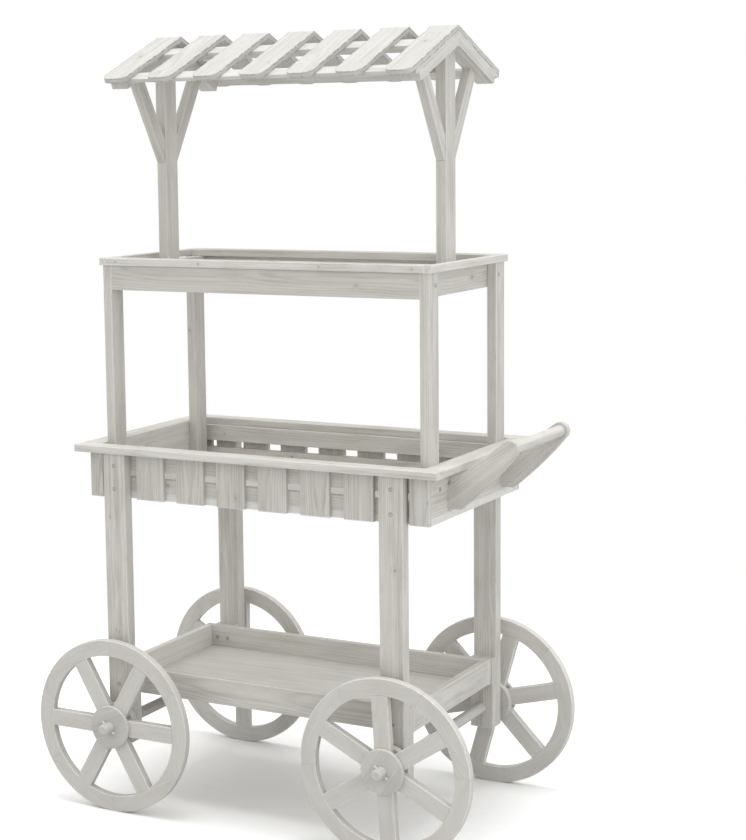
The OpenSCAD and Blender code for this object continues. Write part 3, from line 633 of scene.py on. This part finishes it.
for side in ("front", "back"):
    dress["lower_tray_" + side + "_board"] = greyWash, asBoard("lower_tray_" + side + "_board", "x")
    dress[side + "_rails"] = greyWash, inRow(side + "_rails", "x", 2)
    dress[side + "_slats"] = slatWash, inRow(side + "_slats", "z", 0)
    dress["main_rim_" + side + "_board"] = floorWash, asBoard("main_rim_" + side + "_board", "x")
    dress["handle_" + side + "_arm"] = greyWash, asArm("handle_" + side + "_arm")
    dress["upper_tray_" + side + "_apron"] = greyWash, asBoard("upper_tray_" + side + "_apron", "x")
    dress[side + "_roof_slats"] = roofWash, asRoofSlats(side + "_roof_slats")
# painted light: the tray floors take the paler wash against the shade of the trays and roof above them
for floor in ("lower_tray_floor", "main_tray_floor", "upper_tray_floor"):
    dress[floor] = paintedLightWash, asBoard(floor, "x")
# painted shade: the front and right aprons take the darker wash
for apron in ("upper_tray_front_apron", "upper_tray_right_apron"):
    dress[apron] = paintedShadeApronWash, dress[apron][1]
dress["upper_rim_boards"] = floorWash, inRow("upper_rim_boards", "x", 1)
dress["upper_rim_end_strips"] = floorWash, inRow("upper_rim_end_strips", "y", 0)
dress["handle_grip"] = turnedWash, asDowels("handle_grip")
dress["axle_pegs"] = turnedWash, asDowels("axle_pegs")
# painted light: these boards show their inner faces, which take the lighter wash against the shade inside the
# trays
for inside in ("back_rails", "left_end_panel", "lower_tray_back_board", "upper_tray_back_apron"):
    dress[inside] = paintedLightInnerWash, dress[inside][1]
# painted light: the lower tray's left board takes the paler wash against the shade on its inner face
dress["lower_tray_left_board"] = paintedLightWash, dress["lower_tray_left_board"][1]
dress["rafters"] = underWash, asRafters("rafters")
dress["roof_battens"] = underWash, asBattens("roof_battens")
dress["roof_braces"] = greyWash, asBraces("roof_braces")

for node, (look, place) in dress.items():
    nodes[node].data.materials.clear()
    nodes[node].data.materials.append(washedWood(node + "Wood", look, place, knotsIn.get(node, ())))
print("wood on", len(dress), "nodes")


# screws, nails and their dull, partly painted metal
metal = {
    "steel": (0.46, 0.455, 0.44),
    "paint": (0.60, 0.585, 0.55),
    # painted shade: near-black for the shade in screw recesses and round screw heads
    "paintedShade": (0.15, 0.145, 0.135),
    "roughness": 0.42,
}


def dullMetal(name, share):
    f = Finish(name)
    x, y, z = f.spot()
    cloud = f.noise(f.vector(x * 300, y * 300, z * 300), 3.0, 0.6)
    painted = f.ease(cloud + share, 0.42, 0.62)
    tone = f.blend(painted, metal["steel"], metal["paint"])
    return f.coat(Base_Color=tone, Metallic=0.85 - painted * 0.8, Roughness=metal["roughness"] + cloud * 0.3)


# painted shade: near-black for the shade inside screw recesses and in the gap round screw heads
def paintedRecessShade(name):
    f = Finish(name)
    x, y, z = f.spot()
    cloud = f.noise(f.vector(x * 500, y * 500, z * 500))
    return f.coat(Base_Color=f.blend(cloud * 0.4, metal["paintedShade"], metal["steel"]), Roughness=cloud * 0.3 + 0.6)


nodes["screws"].data.materials.clear()
nodes["screws"].data.materials.append(dullMetal("screwMetal", 0.0))


def joined(name, build, places, material, body="cart"):
    # one mesh of many small pieces: build draws one at the origin, facing +Z
    mesh, bm = bpy.data.meshes.new(name), bmesh.new()
    for spot, outward, spin in places:
        before = set(bm.verts)
        build(bm)
        fresh = [v for v in bm.verts if v not in before]
        aim = Vector(outward).to_track_quat("Z", "Y").to_matrix().to_4x4()
        seat = Matrix.Translation(spot) @ aim @ Matrix.Rotation(spin, 4, "Z")
        bmesh.ops.transform(bm, matrix=seat, verts=fresh)
    bm.to_mesh(mesh)
    bm.free()
    piece = bpy.data.objects.new(name, mesh)
    bpy.context.scene.collection.objects.link(piece)
    mesh.materials.append(material)
    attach(piece, body)
    return piece


# painted shade on a screw: a dark cross for the shade in its recess and a dark ring for the shade round its
# head, with the height of each
screwPlan = {"arm": 0.0016, "half": 0.00045, "lift": -0.00022, "shadeRing": (0.0036, 0.0051), "proud": 0.00003}


def ringOf(bm, sides, reach, z):
    # a round of new points
    return [bm.verts.new((reach * math.cos(k * math.tau / sides), reach * math.sin(k * math.tau / sides), z))
            for k in range(sides)]


def bridged(bm, inner, outer):
    return [bm.faces.new((inner[k - 1], outer[k - 1], outer[k], inner[k])) for k in range(len(inner))]


def paintedScrewShade(bm):
    # painted shade: a dark plus-shaped sheet on a screw's head for the shade in its recess, and a dark ring
    # round it for the shade in the gap at its rim
    a, b, lift = screwPlan["arm"], screwPlan["half"], screwPlan["lift"]
    inner, outer = (ringOf(bm, 24, reach, screwPlan["proud"]) for reach in screwPlan["shadeRing"])
    bridged(bm, inner, outer)
    quarters = (1, 0), (0, -1), (-1, 0), (0, 1)
    outline = [(x * c - y * s, x * s + y * c) for c, s in quarters for x, y in ((b, a), (b, b), (a, b))]
    bm.faces.new([bm.verts.new((x, y, lift)) for x, y in reversed(outline)])


# where the painted screw shade goes: screws through the legs, the lower tray's corners, the end panels and
# the upper aprons
screwSpots = {
    "legTop": 0.030,
    "panelFoot": 0.008,
    "innerPair": 0.016,
    "panelTop": 0.036,
    "panelIn": 0.012,
    "stripTop": 0.030,
    "stripIn": 0.035,
}
legScrews = []
panelLow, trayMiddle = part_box("left_end_panel")[0].z, middle("lower_tray_front_board").z
for corner in corners:
    side = -1 if corner.startswith("front") else 1
    low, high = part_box(corner + "_leg")
    x, face = (low.x + high.x) / 2, low.y if side < 0 else high.y
    for z in (high.z - screwSpots["legTop"], panelLow + screwSpots["panelFoot"], trayMiddle):
        legScrews.append(((x, face, z), (0, side, 0)))
    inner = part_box("lower_tray_" + corner.split("_")[0] + "_board")
    for off in (-screwSpots["innerPair"], screwSpots["innerPair"]):
        legScrews.append(((x + off, inner[1].y if side < 0 else inner[0].y, trayMiddle), (0, -side, 0)))
for end, name in ((-1, "left"), (1, "right")):
    panel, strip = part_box(name + "_end_panel"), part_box("front_" + name + "_post")
    outside = 0 if end < 0 else 1
    for side in (-1, 1):
        for board, key in ((panel, "panel"), (strip, "strip")):
            y = side * (abs(strip[0].y) - screwSpots[key + "In"])
            legScrews.append(((board[outside].x, y, board[1].z - screwSpots[key + "Top"]), (end, 0, 0)))
screwPlaces = [(spot, outward, random.uniform(0, 1.57)) for spot, outward in legScrews]
joined("screwPaintedShade", paintedScrewShade, screwPlaces, paintedRecessShade("recessPaintedShade"))
print("screw recess shade marks:", len(legScrews))

# nails in the slats, roof slats and post heads
nailPlan = {
    "radius": 0.0012,
    "rise": 0.00025,
    "foot": -0.0004,
    "sides": 12,
    "slatTop": 0.022,
    "slatFoot": 0.035,
    "postTop": (0.032, 0.045),
    "stray": (0.003, 0.004, 0.006),
}


def strayed(k):
    return random.uniform(-nailPlan["stray"][k], nailPlan["stray"][k])


def nailHead(bm, grown=1):
    # a low dome, just proud of the wood
    rise = nailPlan["rise"]
    profile = (1.0, nailPlan["foot"]), (0.92, 0.6 * rise), (0.55, 0.95 * rise)
    levels = [ringOf(bm, nailPlan["sides"], share * grown * nailPlan["radius"], z) for share, z in profile]
    for lower, upper in zip(levels, levels[1:]):
        bridged(bm, upper, lower)
    bm.faces.new(levels[-1])


nails = []
for side, name in ((-1, "front"), (1, "back")):
    low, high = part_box(name + "_slats")
    face = low.y if side < 0 else high.y
    for left, right in rowOf(name + "_slats", 0):
        for z in (high.z - nailPlan["slatTop"], low.z + nailPlan["slatFoot"]):
            x = (left + right) / 2 + random.uniform(-0.3, 0.3) * (right - left)
            nails.append(((x, face, z + strayed(1)), (0, side, 0)))
    pitch, top = roofPlan["pitch"], roofPlan["slatAt"] + roofPlan["slatHalf"]
    downhill = Vector((0, side * math.cos(pitch), -math.sin(pitch)))
    skyward = Vector((0, side * math.sin(pitch), math.cos(pitch)))
    for left, right in rowOf(name + "_roof_slats", 0):
        for down in (roofPlan["upperBatten"], reachOf("roof_battens") - roofPlan["battenHalf"]):
            for share in (0.25, 0.75):
                x = left + (right - left) * share + strayed(1)
                nails.append((Vector((x, 0, apex)) + downhill * (down + strayed(2)) + skyward * top, skyward))
    for end in ("left", "right"):
        low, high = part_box(name + "_" + end + "_post")
        for drop in nailPlan["postTop"]:
            x = (low.x + high.x) / 2 + strayed(0)
            nails.append(((x, low.y if side < 0 else high.y, high.z - drop), (0, side, 0)))
nailPlaces = [(spot, outward, random.uniform(0, 6)) for spot, outward in nails]
joined("nailHeads", nailHead, nailPlaces, dullMetal("nailMetal", 0.12))
print("nail heads:", len(nails))

# small screws that hold the upper rim and the side rails
rimPlan = {
    "rimX": (-0.428, -0.186, 0.146, 0.388),
    "railX": (-0.400, 0.366),
    "railTop": 0.024,
    "head": 2.0,
    # painted shade: a dark ring round each small screw's head, in nail radii
    "shadeRing": (1.9, 2.6),
}
smallScrews = []
for side, name in ((-1, "front"), (1, "back")):
    edge, height = abs(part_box("upper_rim_boards")[0].y), middle("upper_rim_boards").z
    smallScrews += [((x, side * edge, height), (0, side, 0), 0) for x in rimPlan["rimX"]]
    low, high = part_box(name + "_rails")
    inside, height = low.y if side > 0 else high.y, high.z - rimPlan["railTop"]
    smallScrews += [((x, inside, height), (0, -side, 0), 0) for x in rimPlan["railX"]]


def smallScrew(bm):
    nailHead(bm, rimPlan["head"])
    # painted shade: a dark ring round the small screw's head, for the shade in the gap round it
    inner, outer = (ringOf(bm, 24, r * nailPlan["radius"], screwPlan["proud"]) for r in rimPlan["shadeRing"])
    for face in bridged(bm, inner, outer):
        face.material_index = 1


rimScrews = joined("rimScrews", smallScrew, smallScrews, dullMetal("rimScrewMetal", 0.05))
rimScrews.data.materials.append(paintedRecessShade("rimScrewShade"))
print("rim screws:", len(smallScrews))


# plain pale floor, white surroundings and soft studio light
studio = {
    "floorRadius": 9.0,
    "floorTone": (0.96, 0.96, 0.955),
    "floorBounce": (0.54, 0.54, 0.535),
    "fade": (1.1, 2.4),
    "roomLight": 1.0,
    "roomTone": (1.0, 0.998, 0.99),
    "lamps": {
        # place, width, power and tone
        "keyLamp": ((-2.6, -3.4, 4.2), 3.0, 15, (1.0, 0.985, 0.96)),
        "sideLamp": ((4.2, -1.2, 2.0), 2.6, 30, (0.97, 0.985, 1.0)),
        "topLamp": ((0.4, -0.6, 14.0), 7.0, 1000, (1.0, 1.0, 1.0)),
    },
    "aim": (0, 0, 0.9),
}


def seenDirectly(f):
    rays = "Is Camera Ray", "Is Glossy Ray", "Is Transmission Ray"
    seen, glossy, clear = (f.add("ShaderNodeLightPath", out=name) for name in rays)
    return seen.most(glossy).most(clear)


class Room(Finish):
    # the world's own tree
    def __init__(self, world):
        world.use_nodes = True
        self.tree = world.node_tree
        self.tree.nodes.clear()


def setRoom():
    world = bpy.data.worlds.new("studioRoom")
    bpy.context.scene.world = world
    f = Room(world)
    light = {"Color": (*studio["roomTone"], 1), "Strength": studio["roomLight"]}
    lit = f.add("ShaderNodeBackground", {}, light)
    white = f.add("ShaderNodeBackground", {}, {"Color": (1, 1, 1, 1), "Strength": 1.0})
    mixed = f.add("ShaderNodeMixShader", {}, [seenDirectly(f), lit, white])
    end = f.tree.nodes.new("ShaderNodeOutputWorld")
    f.tree.links.new(mixed.socket, end.inputs["Surface"])


def layFloor():
    mesh, bm = bpy.data.meshes.new("studioFloor"), bmesh.new()
    bmesh.ops.create_circle(bm, cap_ends=True, radius=studio["floorRadius"], segments=128)
    bm.to_mesh(mesh)
    bm.free()
    sheet = bpy.data.objects.new("studioFloor", mesh)
    bpy.context.scene.collection.objects.link(sheet)
    f = Finish("paleFloor")
    x, y, z = f.spot()
    direct = seenDirectly(f)
    away = f.ease((x * x + y * y).root(), *studio["fade"]) * direct
    speck = f.noise(f.vector(x * 40, y * 40, z))
    tone = f.blend(direct * (1 - speck * 0.1), studio["floorBounce"], studio["floorTone"])
    matt = {"Base Color": tone, "Roughness": 0.85, "Specular IOR Level": 0.1}
    ground = f.add("ShaderNodeBsdfPrincipled", {}, matt)
    glow = f.add("ShaderNodeEmission", {}, {"Color": (1, 1, 1, 1), "Strength": 1.0})
    mesh.materials.append(f.close(f.add("ShaderNodeMixShader", {}, [away, ground, glow])))


def hangLamps():
    for name, (place, width, power, tone) in studio["lamps"].items():
        light = bpy.data.lights.new(name, "AREA")
        light.shape, light.size = "DISK", width
        light.energy, light.color = power, tone
        lamp = bpy.data.objects.new(name, light)
        lamp.location = place
        lamp.rotation_euler = (Vector(studio["aim"]) - Vector(place)).to_track_quat("-Z", "Y").to_euler()
        bpy.context.scene.collection.objects.link(lamp)


setRoom()
layFloor()
hangLamps()
bpy.context.scene.view_settings.view_transform = "Standard"
print("studio lit")
